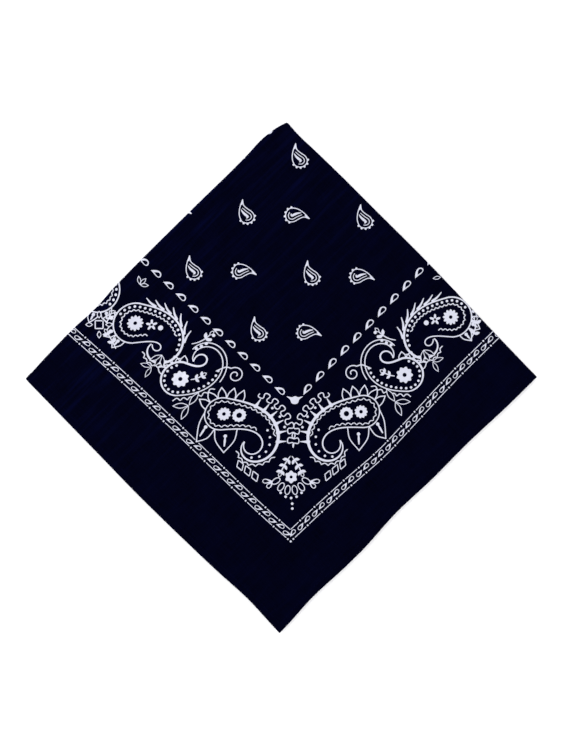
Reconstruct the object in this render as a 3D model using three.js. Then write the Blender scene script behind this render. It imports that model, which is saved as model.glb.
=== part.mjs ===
// A cotton bandana, folded twice into a quarter and laid flat, corner down.
// Millimetres, +Z up, +X to the right and +Y up in the plan view. The origin is under the middle
// of its bounding box, on the surface that it rests on.
//
// Two folds make four layers. The upper right edge has the first fold, as two folds one on the
// other. The upper left edge has the second fold, with the inner layers nested in the outer one.
// The lower left and lower right edges are the hemmed edges of the cloth, four on each other.

import * as THREE from 'three';

// Driving dimensions of the cloth
const SQUARE_SIDE = 550;
const FOLDED_SIDE = SQUARE_SIDE / 2;
const HALF_DIAGONAL = FOLDED_SIDE * Math.SQRT1_2;
const LAYERS = 4;
const LAYER = 1.1; // one layer as it lies, with the air in its weave and under it
const GAP = 0.3; // between the top layer and what it lies on
const STACK_HEIGHT = LAYERS * LAYER + GAP;
const TOP_UNDERSIDE = STACK_HEIGHT - LAYER;
const HIDDEN_HEIGHT = TOP_UNDERSIDE - GAP;

// The folds: how far in from the edge the cloth starts to turn down, and the height of the
// middle of the turn
const NESTED_TURN = 2.8;
const NESTED_MIDDLE = STACK_HEIGHT / 2;
const STACKED_TURN = 1.9;
const STACKED_MIDDLE = STACK_HEIGHT * 0.75;
const STACKED_LOWER_MIDDLE = STACK_HEIGHT * 0.25;
const LOWER_FOLD_SET_BACK = 0.4; // the lower of the two stacked folds lies a little further in
const TUCKED_IN = 1.6; // how far in the hidden layers stay under the turned wall of the top one

// How finely the cloth is divided
const TURN_STEPS = 3;
const FLAT_STEPS = 24;

// The four corners in plan. A hand-folded square is a little out of true.
const CORNERS = {
  top: [4.4, HALF_DIAGONAL],
  left: [-HALF_DIAGONAL, -1.1],
  right: [HALF_DIAGONAL, 0.4],
  bottom: [-1.3, -HALF_DIAGONAL],
};

// How far each edge bows out of the straight line between its corners
const UPPER_LEFT_BOW = [
  { along: 0, out: 0 },
  { along: 0.03, out: 2.4 },
  { along: 0.08, out: 4.1 },
  { along: 0.14, out: 3.4 },
  { along: 0.35, out: 3.4 },
  { along: 0.6, out: 3.0 },
  { along: 0.66, out: 2.6 },
  { along: 0.71, out: 1.4 },
  { along: 0.82, out: 2.0 },
  { along: 0.93, out: 1.1 },
  { along: 1, out: 0 },
];
const UPPER_RIGHT_BOW = [
  { along: 0, out: 0 },
  { along: 0.04, out: -0.7 },
  { along: 0.11, out: -0.1 },
  { along: 0.2, out: 0.6 },
  { along: 0.35, out: 1.1 },
  { along: 0.53, out: 1.7 },
  { along: 0.65, out: 1.4 },
  { along: 0.8, out: 0.6 },
  { along: 1, out: 0 },
];
const LOWER_LEFT_BOW = [
  { along: 0, out: 0 },
  { along: 0.1, out: 0.4 },
  { along: 0.3, out: 1.2 },
  { along: 0.45, out: 1.8 },
  { along: 0.6, out: 1.3 },
  { along: 0.75, out: 0.2 },
  { along: 0.88, out: -1.4 },
  { along: 0.95, out: -0.6 },
  { along: 1, out: 0 },
];
const LOWER_RIGHT_BOW = [
  { along: 0, out: 0 },
  { along: 0.11, out: -0.2 },
  { along: 0.26, out: -1.5 },
  { along: 0.41, out: -1.3 },
  { along: 0.54, out: -2.4 },
  { along: 0.68, out: -0.3 },
  { along: 0.74, out: -0.4 },
  { along: 0.87, out: -1.7 },
  { along: 0.97, out: -0.2 },
  { along: 1, out: 0 },
];

// Soft ridges and troughs of the stack. Each is a line in plan, as wide as its cloth takes to
// rise, and a ridge rises where a trough sinks.
const CREASES = [
  { start: [-6, 184], end: [-186, 8], width: 9, rise: 0.5 },
  { start: [12, 180], end: [182, 12], width: 7, rise: 0.25 },
  { start: [-31, 146], end: [-88, 78], width: 7, rise: -0.5 },
  { start: [-2, 165], end: [-62, 88], width: 8, rise: 0.45 },
  { start: [30, 108], end: [-47, 44], width: 8, rise: 0.4 },
  { start: [-24, 108], end: [-44, 84], width: 12, rise: -0.35 },
  { start: [40, 112], end: [62, 78], width: 16, rise: -0.45 },
  { start: [70, 60], end: [98, 78], width: 9, rise: 0.35 },
  { start: [-160, 14], end: [-124, -28], width: 10, rise: 0.35 },
  { start: [-112, -34], end: [-90, -58], width: 9, rise: -0.4 },
  { start: [-84, -118], end: [-52, -96], width: 9, rise: 0.4 },
  { start: [-34, -104], end: [8, -136], width: 11, rise: -0.45 },
  { start: [-22, -150], end: [-4, -140], width: 8, rise: 0.4 },
  { start: [60, -122], end: [86, -104], width: 11, rise: 0.4 },
  { start: [88, -62], end: [140, -12], width: 10, rise: -0.4 },
  { start: [158, -22], end: [178, -8], width: 12, rise: 0.6 },
];

// The hem of the top layer: the cloth turned twice makes a low flat ridge beside its edge
const HEM_ROWS = [
  { inset: 7.5, outer: 0, inner: 0 },
  { inset: 6, outer: 0.35, inner: 0 },
  { inset: 1.4, outer: 0.35, inner: 0 },
  { inset: 0.4, outer: 0.15, inner: 0.05 },
  { inset: 0, outer: -0.3, inner: 0.3 },
];

// The edges of the hidden layers, from the surface up: how far each lies in from the outline at
// the two hems, one lip for each layer with a groove above it
const HEM_LIPS = [
  { height: 0, left: 1.9, right: 1.2 },
  { height: 0.08, left: 1.5, right: 0.8 },
  { height: 0.24, left: 1.4, right: 0.7 },
  { height: 0.32, left: 2.6, right: 2.2 },
  { height: 0.4, left: 0.5, right: 1.2 },
  { height: 0.56, left: 0.5, right: 1.2 },
  { height: 0.61, left: 0.8, right: 1.4 },
  { height: 0.69, left: 2.4, right: 2.4 },
  { height: 0.74, left: 1, right: 0.4 },
  { height: 0.9, left: 1, right: 0.4 },
  { height: 0.955, left: 1.1, right: 0.6 },
  { height: 0.97, left: 1.2, right: 0.8 },
  { height: 1, left: 1.6, right: 1.3 },
];

// Bow of an edge at a share of its length, smoothly between the rows of its table
function bowAt(rows, along) {
  let row = 1;
  while (row < rows.length - 1 && rows[row].along < along) row += 1;
  const before = rows[row - 1];
  const after = rows[row];
  const share = (along - before.along) / (after.along - before.along);
  const eased = share * share * (3 - 2 * share);
  return before.out + (after.out - before.out) * eased;
}

// A bowed edge between two corners; outward is to the left or right of its run
function makeEdge(from, to, rows, outward) {
  const run = [to[0] - from[0], to[1] - from[1]];
  const length = Math.hypot(run[0], run[1]);
  const normal = [(-run[1] / length) * outward, (run[0] / length) * outward];
  return (along) => {
    const bow = bowAt(rows, along);
    return [from[0] + run[0] * along + normal[0] * bow, from[1] + run[1] * along + normal[1] * bow];
  };
}

const upperLeft = makeEdge(CORNERS.top, CORNERS.left, UPPER_LEFT_BOW, -1);
const upperRight = makeEdge(CORNERS.top, CORNERS.right, UPPER_RIGHT_BOW, 1);
const lowerLeft = makeEdge(CORNERS.left, CORNERS.bottom, LOWER_LEFT_BOW, -1);
const lowerRight = makeEdge(CORNERS.right, CORNERS.bottom, LOWER_RIGHT_BOW, 1);

// A place in plan. The first share runs from the upper right fold to the lower left hem, and the
// second from the upper left fold to the lower right hem, so 0, 0 is the top corner.
function planPoint(first, second) {
  const left = upperLeft(first);
  const right = lowerRight(first);
  const top = upperRight(second);
  const bottom = lowerLeft(second);
  return [0, 1].map((axis) => {
    const ruled = (1 - second) * left[axis] + second * right[axis];
    const crossed = (1 - first) * top[axis] + first * bottom[axis];
    const corners =
      (1 - first) * (1 - second) * CORNERS.top[axis] +
      first * (1 - second) * CORNERS.left[axis] +
      (1 - first) * second * CORNERS.right[axis] +
      first * second * CORNERS.bottom[axis];
    return ruled + crossed - corners;
  });
}

// How much higher or lower than even the stack lies at a place, as a share of its height
function loft(x, y) {
  let rise = 0;
  for (const crease of CREASES) {
    const run = [crease.end[0] - crease.start[0], crease.end[1] - crease.start[1]];
    const offset = [x - crease.start[0], y - crease.start[1]];
    const share = (offset[0] * run[0] + offset[1] * run[1]) / (run[0] ** 2 + run[1] ** 2);
    const held = Math.min(1, Math.max(0, share));
    const away = Math.hypot(offset[0] - run[0] * held, offset[1] - run[1] * held);
    rise += crease.rise * Math.exp(-((away / crease.width) ** 2));
  }
  return 1 + rise / STACK_HEIGHT;
}

// Rows of the top layer from a fold, over the flat, to the opposite hem. Each has its place in
// the outer and inner skin as a share of the side, how far it has come up out of the fold, and
// its rise on the hem.
function layerRows(turnWidth) {
  const rows = [];
  for (let step = 0; step < TURN_STEPS; step += 1) {
    const angle = (Math.PI / 2) * (1 - step / TURN_STEPS);
    const outer = turnWidth * (1 - Math.sin(angle));
    const inner = turnWidth - (turnWidth - LAYER) * Math.sin(angle);
    rows.push({
      outer: outer / FOLDED_SIDE,
      inner: inner / FOLDED_SIDE,
      up: Math.cos(angle),
      outerRise: 0,
      innerRise: 0,
    });
  }
  const flatEnd = FOLDED_SIDE - HEM_ROWS[0].inset;
  for (let step = 0; step < FLAT_STEPS; step += 1) {
    const place = (turnWidth + ((flatEnd - turnWidth) * step) / FLAT_STEPS) / FOLDED_SIDE;
    rows.push({ outer: place, inner: place, up: 1, outerRise: 0, innerRise: 0 });
  }
  for (const hem of HEM_ROWS) {
    const place = 1 - hem.inset / FOLDED_SIDE;
    rows.push({ outer: place, inner: place, up: 1, outerRise: hem.outer, innerRise: hem.inner });
  }
  return rows;
}

// One point of the top layer. Where it turns down over a fold it drops from its own height to
// the middle of that fold, and at the top corner the two drops join without adding up.
function layerPoint(first, second, side) {
  const outside = side === 'outer';
  const [x, y] = planPoint(first[side], second[side]);
  const level = outside ? STACK_HEIGHT : TOP_UNDERSIDE;
  const rise = outside ? first.outerRise + second.outerRise : first.innerRise + second.innerRise;
  const nestedDepth = level - NESTED_MIDDLE;
  const stackedDrop = Math.max(0, level - STACKED_MIDDLE) * (1 - first.up);
  const nestedDrop = nestedDepth * (1 - second.up);
  const drop = stackedDrop + nestedDrop - (stackedDrop * nestedDrop) / nestedDepth;
  return [x, y, (level - drop + rise * second.up * first.up) * loft(x, y)];
}

// A closed mesh gathers points and faces; faces are given anticlockwise from outside
function closedMesh() {
  const positions = [];
  const faces = [];
  return {
    add(point) {
      positions.push(...point);
      return positions.length / 3 - 1;
    },
    triangle(a, b, c) {
      faces.push(a, b, c);
    },
    quad(a, b, c, d) {
      faces.push(a, b, c, a, c, d);
    },
    geometry() {
      const geometry = new THREE.BufferGeometry();
      geometry.setAttribute('position', new THREE.Float32BufferAttribute(positions, 3));
      geometry.setIndex(faces);
      geometry.computeVertexNormals();
      return geometry;
    },
  };
}

// Places of the edge of a grid in order: along the upper left fold, down the lower left hem,
// back along the lower right hem and up the upper right fold
function gridRim(lastFirst, lastSecond) {
  const rim = [];
  for (let first = 0; first < lastFirst; first += 1) rim.push([first, 0]);
  for (let second = 0; second < lastSecond; second += 1) rim.push([lastFirst, second]);
  for (let first = lastFirst; first > 0; first -= 1) rim.push([first, lastSecond]);
  for (let second = lastSecond; second > 0; second -= 1) rim.push([0, second]);
  return rim;
}

// The printed quarter that shows: a wall turned down over both folds
function topLayer() {
  const mesh = closedMesh();
  const firstRows = layerRows(STACKED_TURN);
  const secondRows = layerRows(NESTED_TURN);
  const skin = {};
  for (const side of ['outer', 'inner']) {
    skin[side] = firstRows.map((first) =>
      secondRows.map((second) => mesh.add(layerPoint(first, second, side))),
    );
  }
  const lastFirst = firstRows.length - 1;
  const lastSecond = secondRows.length - 1;
  const { outer, inner } = skin;
  for (let i = 0; i < lastFirst; i += 1) {
    for (let j = 0; j < lastSecond; j += 1) {
      mesh.quad(outer[i][j], outer[i + 1][j], outer[i + 1][j + 1], outer[i][j + 1]);
      mesh.quad(inner[i][j], inner[i][j + 1], inner[i + 1][j + 1], inner[i + 1][j]);
    }
  }
  const rim = gridRim(lastFirst, lastSecond);
  rim.forEach(([i, j], place) => {
    const [nextI, nextJ] = rim[(place + 1) % rim.length];
    mesh.quad(outer[i][j], inner[i][j], inner[nextI][nextJ], outer[nextI][nextJ]);
  });
  return mesh.geometry();
}

// How far the hidden layers lie in from the outline at the upper left, nested fold: the lower
// half of the turn of the outer layer, then inside the wall of the top layer
function nestedInset(height) {
  if (height < NESTED_MIDDLE - GAP) {
    return NESTED_TURN * (1 - Math.sqrt(1 - (1 - height / NESTED_MIDDLE) ** 2));
  }
  const up = Math.max(0, (height - NESTED_MIDDLE) / (HIDDEN_HEIGHT - NESTED_MIDDLE));
  const reach = NESTED_TURN - LAYER - GAP;
  return NESTED_TURN - reach * Math.sqrt(1 - up ** 2);
}

// The same at the upper right edge: a whole fold with the lower half of another one on it
function stackedInset(height) {
  if (height > STACKED_MIDDLE - GAP) return TUCKED_IN;
  const lower = height < STACK_HEIGHT / 2;
  const middle = lower ? STACKED_LOWER_MIDDLE : STACKED_MIDDLE;
  const off = Math.min(1, Math.abs(height - middle) / STACKED_LOWER_MIDDLE);
  const inset = STACKED_TURN * (1 - Math.sqrt(1 - off ** 2));
  return lower ? inset + LOWER_FOLD_SET_BACK : inset;
}

// The three layers under the top one, as one rounded solid with a lip for each layer
function hiddenLayers() {
  const mesh = closedMesh();
  const rim = gridRim(FLAT_STEPS, FLAT_STEPS);

  // The part between its insets at one height, at a place of a square grid
  const levelPoint = (lip, i, j) => {
    const height = lip.height * HIDDEN_HEIGHT;
    const firstStart = stackedInset(height) / FOLDED_SIDE;
    const firstEnd = 1 - lip.left / FOLDED_SIDE;
    const secondStart = nestedInset(height) / FOLDED_SIDE;
    const secondEnd = 1 - lip.right / FOLDED_SIDE;
    const first = firstStart + ((firstEnd - firstStart) * i) / FLAT_STEPS;
    const second = secondStart + ((secondEnd - secondStart) * j) / FLAT_STEPS;
    const [x, y] = planPoint(first, second);
    return [x, y, height * loft(x, y)];
  };

  const rings = HEM_LIPS.map((lip) => rim.map(([i, j]) => mesh.add(levelPoint(lip, i, j))));
  for (let level = 0; level + 1 < rings.length; level += 1) {
    rim.forEach((_, place) => {
      const next = (place + 1) % rim.length;
      const lower = rings[level];
      const upper = rings[level + 1];
      mesh.quad(upper[place], lower[place], lower[next], upper[next]);
    });
  }

  // The top, which follows the top layer, shares its rim with the highest ring
  const highest = rings[rings.length - 1];
  const topLip = HEM_LIPS[HEM_LIPS.length - 1];
  const rimIndex = new Map(rim.map(([i, j], place) => [`${i} ${j}`, highest[place]]));
  const top = [];
  for (let i = 0; i <= FLAT_STEPS; i += 1) {
    top.push([]);
    for (let j = 0; j <= FLAT_STEPS; j += 1) {
      top[i].push(rimIndex.get(`${i} ${j}`) ?? mesh.add(levelPoint(topLip, i, j)));
    }
  }
  for (let i = 0; i < FLAT_STEPS; i += 1) {
    for (let j = 0; j < FLAT_STEPS; j += 1) {
      mesh.quad(top[i][j], top[i + 1][j], top[i + 1][j + 1], top[i][j + 1]);
    }
  }

  // The flat underside
  const outline = rim.map(([i, j]) => new THREE.Vector2(...levelPoint(HEM_LIPS[0], i, j)));
  for (const [a, b, c] of THREE.ShapeUtils.triangulateShape(outline, [])) {
    mesh.triangle(rings[0][c], rings[0][b], rings[0][a]);
  }
  return mesh.geometry();
}

function dyedCotton(color) {
  return new THREE.MeshStandardMaterial({ color, roughness: 0.95, metalness: 0 });
}

function namedMesh(name, geometry, material) {
  const mesh = new THREE.Mesh(geometry, material);
  mesh.name = name;
  return mesh;
}

const bandana = new THREE.Group();
bandana.add(namedMesh('top_layer', topLayer(), dyedCotton('#0a0c33')));
bandana.add(namedMesh('hidden_layers', hiddenLayers(), dyedCotton('#070825')));

export default bandana;
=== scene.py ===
"""A navy cotton bandana with a pale paisley print, folded into a quarter and lying flat.

Sizes are millimetres up to the last step, which turns them into metres. The cloth is worked out
as it was before it was folded: a place on it is given by x and y where it lies in plan, carried
on past each fold, and one function turns such a place into a point in space.
"""
import math
import bpy
import numpy as np
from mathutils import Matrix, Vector
from mathutils.geometry import delaunay_2d_cdt


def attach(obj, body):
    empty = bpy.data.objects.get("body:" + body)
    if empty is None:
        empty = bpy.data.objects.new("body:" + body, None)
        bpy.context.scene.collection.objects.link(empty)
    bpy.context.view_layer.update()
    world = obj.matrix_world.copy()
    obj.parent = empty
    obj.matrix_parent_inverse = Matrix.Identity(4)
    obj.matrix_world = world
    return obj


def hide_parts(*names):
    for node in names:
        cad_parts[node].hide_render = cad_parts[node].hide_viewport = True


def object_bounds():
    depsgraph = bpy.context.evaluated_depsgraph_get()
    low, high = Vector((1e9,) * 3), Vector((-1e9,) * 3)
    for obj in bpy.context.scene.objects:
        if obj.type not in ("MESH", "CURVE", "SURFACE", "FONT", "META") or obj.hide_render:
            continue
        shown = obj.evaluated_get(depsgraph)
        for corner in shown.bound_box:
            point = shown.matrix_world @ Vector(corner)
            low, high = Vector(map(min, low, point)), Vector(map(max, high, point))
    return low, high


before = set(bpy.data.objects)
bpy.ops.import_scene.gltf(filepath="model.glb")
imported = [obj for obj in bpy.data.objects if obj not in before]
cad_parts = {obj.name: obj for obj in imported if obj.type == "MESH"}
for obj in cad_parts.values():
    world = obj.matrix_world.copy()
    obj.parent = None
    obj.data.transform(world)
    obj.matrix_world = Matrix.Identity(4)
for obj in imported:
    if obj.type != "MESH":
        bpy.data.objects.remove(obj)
cad_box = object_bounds()

MM = 0.001
VIEW_HEIGHT = 564.7  # what the picture takes in from top to bottom
VIEW_CENTRE = (0.57, 4.56)
LENS = 85
SENSOR = 36

# Driving sizes of the folded cloth
HALF_DIAGONAL = (cad_box[1].x - cad_box[0].x) / 2 / MM
SIDE = HALF_DIAGONAL * math.sqrt(2)
STACK_HEIGHT = 4.7
MIDDLE = STACK_HEIGHT / 2
CLOTH = 0.3
HEM_WIDTH = 6.0
HEM_STEP = 0.7
NESTED_TURN = 2.5  # how far in from the nested fold the cloth starts to turn down
STACKED_TURN = 1.3
STACKED_MIDDLE = STACK_HEIGHT / 4  # the middle of a stacked fold lies this far under its face
INNER_DEPTH = 1.85  # how far the inner layers lie under the outer ones
INNER_DEPTH_AT_FOLD = 2.17

CORNERS = {
    "top": (4.4, HALF_DIAGONAL),
    "left": (-HALF_DIAGONAL, -1.1),
    "right": (HALF_DIAGONAL, 0.4),
    "bottom": (-1.3, -HALF_DIAGONAL),
}

# How far each edge bows out of the straight line, at shares of its length
BOWS = {
    "upper_left": [
        (0, 0), (0.03, 2.4), (0.08, 4.1), (0.14, 3.4), (0.35, 3.4), (0.6, 3.0),
        (0.66, 2.6), (0.71, 1.4), (0.82, 2.0), (0.93, 1.1), (1, 0),
    ],
    "upper_right": [
        (0, 0), (0.04, -0.7), (0.11, -0.1), (0.2, 0.6), (0.35, 1.1), (0.53, 1.7),
        (0.65, 1.4), (0.8, 0.6), (1, 0),
    ],
    "lower_left": [
        (0, 0), (0.1, 0.4), (0.3, 1.2), (0.45, 1.8), (0.6, 1.3), (0.75, 0.2),
        (0.88, -1.4), (0.95, -0.6), (1, 0),
    ],
    "lower_right": [
        (0, 0), (0.11, -0.2), (0.26, -1.5), (0.41, -1.3), (0.54, -2.4), (0.68, -0.3),
        (0.74, -0.4), (0.87, -1.7), (0.97, -0.2), (1, 0),
    ],
}
EDGE_ENDS = {
    "upper_left": ("top", "left", -1),
    "upper_right": ("top", "right", 1),
    "lower_left": ("left", "bottom", -1),
    "lower_right": ("right", "bottom", 1),
}

# Soft ridges and troughs of the stack: start, end, width and rise
CREASES = [
    ((-6, 184), (-186, 8), 9, 0.5),
    ((12, 180), (182, 12), 7, 0.25),
    ((-31, 146), (-88, 78), 7, -0.5),
    ((-2, 165), (-62, 88), 8, 0.45),
    ((30, 108), (-47, 44), 8, 0.4),
    ((-24, 108), (-44, 84), 12, -0.35),
    ((40, 112), (62, 78), 16, -0.45),
    ((70, 60), (98, 78), 9, 0.35),
    ((-160, 14), (-124, -28), 10, 0.35),
    ((-112, -34), (-90, -58), 9, -0.4),
    ((-84, -118), (-52, -96), 9, 0.4),
    ((-34, -104), (8, -136), 11, -0.45),
    ((-22, -150), (-4, -140), 8, 0.4),
    ((60, -122), (86, -104), 11, 0.4),
    ((88, -62), (140, -12), 10, -0.4),
    ((158, -22), (178, -8), 12, 0.6),
]

# The four layers from the top down. Each has the side that its outer face looks to, how deep it
# lies under the face of its half of the stack, that depth beside the stacked folds, its thickness
# at the hems, and how far its two skins lie out from that face over the flat and at the hems. Its
# edges have rows of how far they are set in at shares of their length.
LAYERS = {
    "top_quarter": {
        "up": 1, "depth": 0.0, "depth_at_fold": 0.0, "over": 0.0, "hem": 1.1, "hem_over": 0.3,
        "upper_right": [(0, 0), (1, 0)],
        "lower_left": [(0, 0), (1, 0)],
        "lower_right": [(0, 0), (1, 0)],
    },
    "second_quarter": {
        "up": 1, "depth": INNER_DEPTH, "depth_at_fold": INNER_DEPTH_AT_FOLD,
        "over": 0.15, "hem": 0.8, "hem_over": 0.4,
        "upper_right": [(0, 0.15), (1, 0.15)],
        "lower_left": [(0, 0.6), (0.12, 0.9), (0.4, 1.2), (0.7, 0.8), (1, 1.1)],
        "lower_right": [(0, 0), (0.15, 0.5), (0.5, 0.3), (0.8, 0.7), (1, 0.4)],
    },
    "third_quarter": {
        "up": -1, "depth": INNER_DEPTH, "depth_at_fold": INNER_DEPTH_AT_FOLD,
        "over": 0.15, "hem": 0.9, "hem_over": 0.45,
        "upper_right": [(0, 0.15), (0.06, 0.45), (0.4, 0.75), (0.7, 0.4), (1, 0.6)],
        "lower_left": [(0, 0.6), (0.2, 0.4), (0.5, 0.7), (0.8, 0.4), (1, 0.6)],
        "lower_right": [(0, 0.9), (0.2, 1.3), (0.6, 1.0), (1, 1.4)],
    },
    "under_quarter": {
        "up": -1, "depth": 0.0, "depth_at_fold": 0.0, "over": 0.0, "hem": 1.1, "hem_over": 0.0,
        "upper_right": [(0, 0), (0.06, 0.3), (0.4, 0.6), (0.7, 0.25), (1, 0.45)],
        "lower_left": [(0, 0), (0.1, 0.8), (0.35, 1.5), (0.7, 1.2), (1, 1.6)],
        "lower_right": [(0, 0.9), (0.2, 0.6), (0.6, 0.9), (1, 0.7)],
    },
}

# The print. LINE is the width of its thin lines
LINE = 1.1
INK_SPREAD = 0.66  # the print's real line width as a share of the drawn one
FIELD_START = (13.5, 169.1)
FIELD_STEPS = np.array([(-40.3, -42.6), (49.4, -46.4)])
FRAME_CORNER = (7.2, -124.6)
FRAME_WIDTH = 6.6
FRAME_FIRST_DOT = 2.8
FRAME_COUNT = 19
# Each side of the border's frame: the directions along it and inwards, its period, how far its
# inner dots slip back, how far its drops lean, and how far it bows inwards, place by place
FRAME_SIDES = (
    (((0.7137, 0.7004), (-0.7004, 0.7137)), 15.0, 1.6, 0.9,
     ((0, 0), (30, -0.5), (46, -1.1), (62, -1.8), (78, -2.9), (90, -3.7), (102, -3.8), (118, -3.1),
      (134, -2.3), (158, -1.1), (182, -0.3), (262, -0.4))),
    (((-0.7325, 0.6808), (0.6808, 0.7325)), 14.47, 0, -1.5,
     ((0, -0.1), (22, -0.7), (38, -0.8), (62, -0.4), (94, 0.3), (126, 1.1), (158, 1.4), (182, 1.4),
      (206, 1.0), (226, 0.5), (262, 0.4))))
LEFT_ALONG = np.array([-0.7325, 0.6808])
LEFT_MIDDLE = 217.9  # where the left side's print is mirrored, from the frame's corner

# Places in the border's right half and the places that answer to them in its left half
RIGHT_PLACES = [(52.2, -27.4), (94.8, 4.0), (130.8, 45.3), (7.2, -124.6), (8.0, -50.1), (10.8, -16.7)]
LEFT_PLACES = [(-33.9, -27.1), (-77.4, 2.1), (-113.7, 39.1), (7.2, -124.6), (8.0, -50.1), (10.8, -16.7)]

# The border's paisleys: the middle and radius of the head, the way that the spine leaves it in
# degrees, its length, how far it bends in all, how late it bends and how fast it tapers
PAISLEYS = {
    "inner": ((62.5, -25.8), 12.2, 186, 84, 300, 2.2, 0.95),
    "middle": ((95.0, 2.2), 12.8, 190, 58, -290, 1.8, 0.95),
    "outer": ((129.5, 46.0), 15.2, 186, 64, 300, 2.2, 0.75),
}

SMALL_SHAPE = 10.0  # shapes of the print up to this size run on over the nested fold
LINE_STEP = 0.7  # between the points of a printed line
DROP_POWER = 1.4
DROP_FACTOR = 1.26

# Threads, sewing and light
THREAD_SPACING = 0.8  # twice that of the real cloth, which would be too fine to show
THREAD_HEIGHT = 0.12
STITCH_PITCH = 3.0
STITCH_LENGTH = 2.3
STITCH_RADIUS = 0.17
STITCH_FROM_EDGE = 4.9
LAMP_POWER = 9.0
WORLD_STRENGTH = 1.35


def through_rows(rows, shares):
    """Values at shares of a length, on a smooth curve through (share, value) rows.

    Each stretch between two rows is a cubic whose slope at a row is that of the line between the
    row before and the row after it.
    """
    at, value = np.array(rows, float).T
    slope = np.gradient(value, at)
    shares = np.clip(shares, 0, 1)
    row = np.clip(np.searchsorted(at, shares, side="right") - 1, 0, len(at) - 2)
    span = at[row + 1] - at[row]
    t = (shares - at[row]) / span
    return (
        value[row] * (1 + 2 * t) * (1 - t) ** 2
        + slope[row] * span * t * (1 - t) ** 2
        + value[row + 1] * t ** 2 * (3 - 2 * t)
        + slope[row + 1] * span * t ** 2 * (t - 1)
    )


class Edge:
    """One edge of the folded square: a straight run between two corners, with its bow."""

    def __init__(self, name):
        start, end, side = EDGE_ENDS[name]
        self.start = np.array(CORNERS[start])
        run = np.array(CORNERS[end]) - self.start
        self.length = math.hypot(*run)
        self.along = run / self.length
        self.out = side * np.array([-self.along[1], self.along[0]])
        self.bow = BOWS[name]

    def share(self, places):
        """Share of the run at which each place lies."""
        return (places - self.start) @ self.along / self.length

    def inside(self, places):
        """Distance of each place in from the bowed edge."""
        return through_rows(self.bow, self.share(places)) - (places - self.start) @ self.out


EDGES = {name: Edge(name) for name in EDGE_ENDS}
HEMS = ("lower_left", "lower_right")
FOLDS = {"upper_left": (NESTED_TURN, MIDDLE), "upper_right": (STACKED_TURN, STACKED_MIDDLE)}


def smooth_step(low, high, values):
    """0 below low, 1 above high, and an even S between them."""
    t = np.clip((values - low) / (high - low), 0, 1)
    return t * t * (3 - 2 * t)


def loft(places):
    """How much higher than even the stack lies: one plus a soft bell across each crease."""
    rise = np.zeros(len(places))
    for start, end, width, height in CREASES:
        start, run = np.array(start, float), np.subtract(end, start)
        share = np.clip((places - start) @ run / (run @ run), 0, 1)
        away = places - start - np.outer(share, run)
        rise += height * np.exp(-(away ** 2).sum(1) / width ** 2)
    return 1 + rise / STACK_HEIGHT


def turn(distance, width, depth):
    """The angle through which the cloth has turned, at a distance in from where it folds.

    It follows a quarter of an ellipse, and within a width of the edge the cloth's own length
    turns into an angle from none to a right angle.
    """
    return np.clip((width - distance) / turn_length(width, depth), 0, 1) * math.pi / 2


def turn_length(width, depth):
    """Length of a quarter of an ellipse, from the root mean square of its two radii."""
    return math.pi / 2 * math.sqrt((width ** 2 + depth ** 2) / 2)


def turned_in(distance, width, angle):
    """Distance in from the edge after a turn: the width times one less the sine of its angle."""
    return np.where(distance < width, width * (1 - np.sin(angle)), distance)


def edge_distance(layer, name, places):
    """Distance of each place in from one of the layer's own edges."""
    edge = EDGES[name]
    distance = edge.inside(places)
    return distance - through_rows(layer[name], edge.share(places)) if name in layer else distance


def reference_face(layer, places):
    """Points of a layer's reference face, for places on the cloth.

    The half of the stack that the layer is in has a face that turns over the nested fold. The
    layer lies at its depth under that face, square to it, and beside the stacked folds it goes
    to the depth of their middle while it turns in. The whole height is then lofted.
    """
    nested = EDGES["upper_left"]
    distance = nested.inside(places)
    angle = turn(distance, NESTED_TURN, MIDDLE)
    move = distance - turned_in(distance, NESTED_TURN, angle)
    face = np.column_stack([
        places + np.outer(move, nested.out),
        MIDDLE + layer["up"] * MIDDLE * np.cos(angle),
    ])
    square = np.column_stack([
        np.outer(MIDDLE * np.sin(angle), nested.out),
        layer["up"] * NESTED_TURN * np.cos(angle),
    ])
    square /= np.linalg.norm(square, axis=1, keepdims=True)

    stacked = EDGES["upper_right"]
    distance = edge_distance(layer, "upper_right", places)
    angle = turn(distance, STACKED_TURN, STACKED_MIDDLE)
    move = distance - turned_in(distance, STACKED_TURN, angle)
    face[:, :2] += np.outer(move, stacked.out)
    beside = 1 - smooth_step(3, 16, distance)
    depth = layer["depth"] + (layer["depth_at_fold"] - layer["depth"]) * beside
    depth += (STACKED_MIDDLE - depth) * (1 - np.cos(angle))
    face -= square * depth[:, None]
    ripple = fine_creases(face[:, :2]) * np.clip(face[:, 2] / STACK_HEIGHT, 0, 1)
    face[:, 2] = face[:, 2] * loft(face[:, :2]) + ripple
    return face


def fine_creases(places):
    """Small parallel creases beside the nested fold.

    Two sines across the fold, 5.5 and 8.6 mm from crest to crest, whose phase wanders along it,
    times a slow sine along it, fading out over the far half of the cloth.
    """
    edge = EDGES["upper_left"]
    across = -(places - edge.start) @ edge.out
    along = (places - edge.start) @ edge.along
    phase = across + 1.6 * np.sin(along / 31) + 0.9 * np.sin(along / 13 + across / 40)
    crests = np.sin(2 * math.pi * phase / 5.5) * (0.6 + 0.4 * np.sin(along / 47 + across / 9))
    crests += 0.5 * np.sin(2 * math.pi * phase / 8.6 + along / 60)
    reach = smooth_step(2, 12, across) * (1 - 0.8 * smooth_step(70, 190, across))
    return 0.07 * crests * reach


def across_face(layer, places):
    """Unit vectors square to the reference face, on its outer side, from small steps on it."""
    step = 0.05
    towards_x = reference_face(layer, places + (step, 0)) - reference_face(layer, places - (step, 0))
    towards_y = reference_face(layer, places + (0, step)) - reference_face(layer, places - (0, step))
    square = np.cross(towards_x, towards_y) * layer["up"]
    return square / np.linalg.norm(square, axis=1, keepdims=True)


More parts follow.
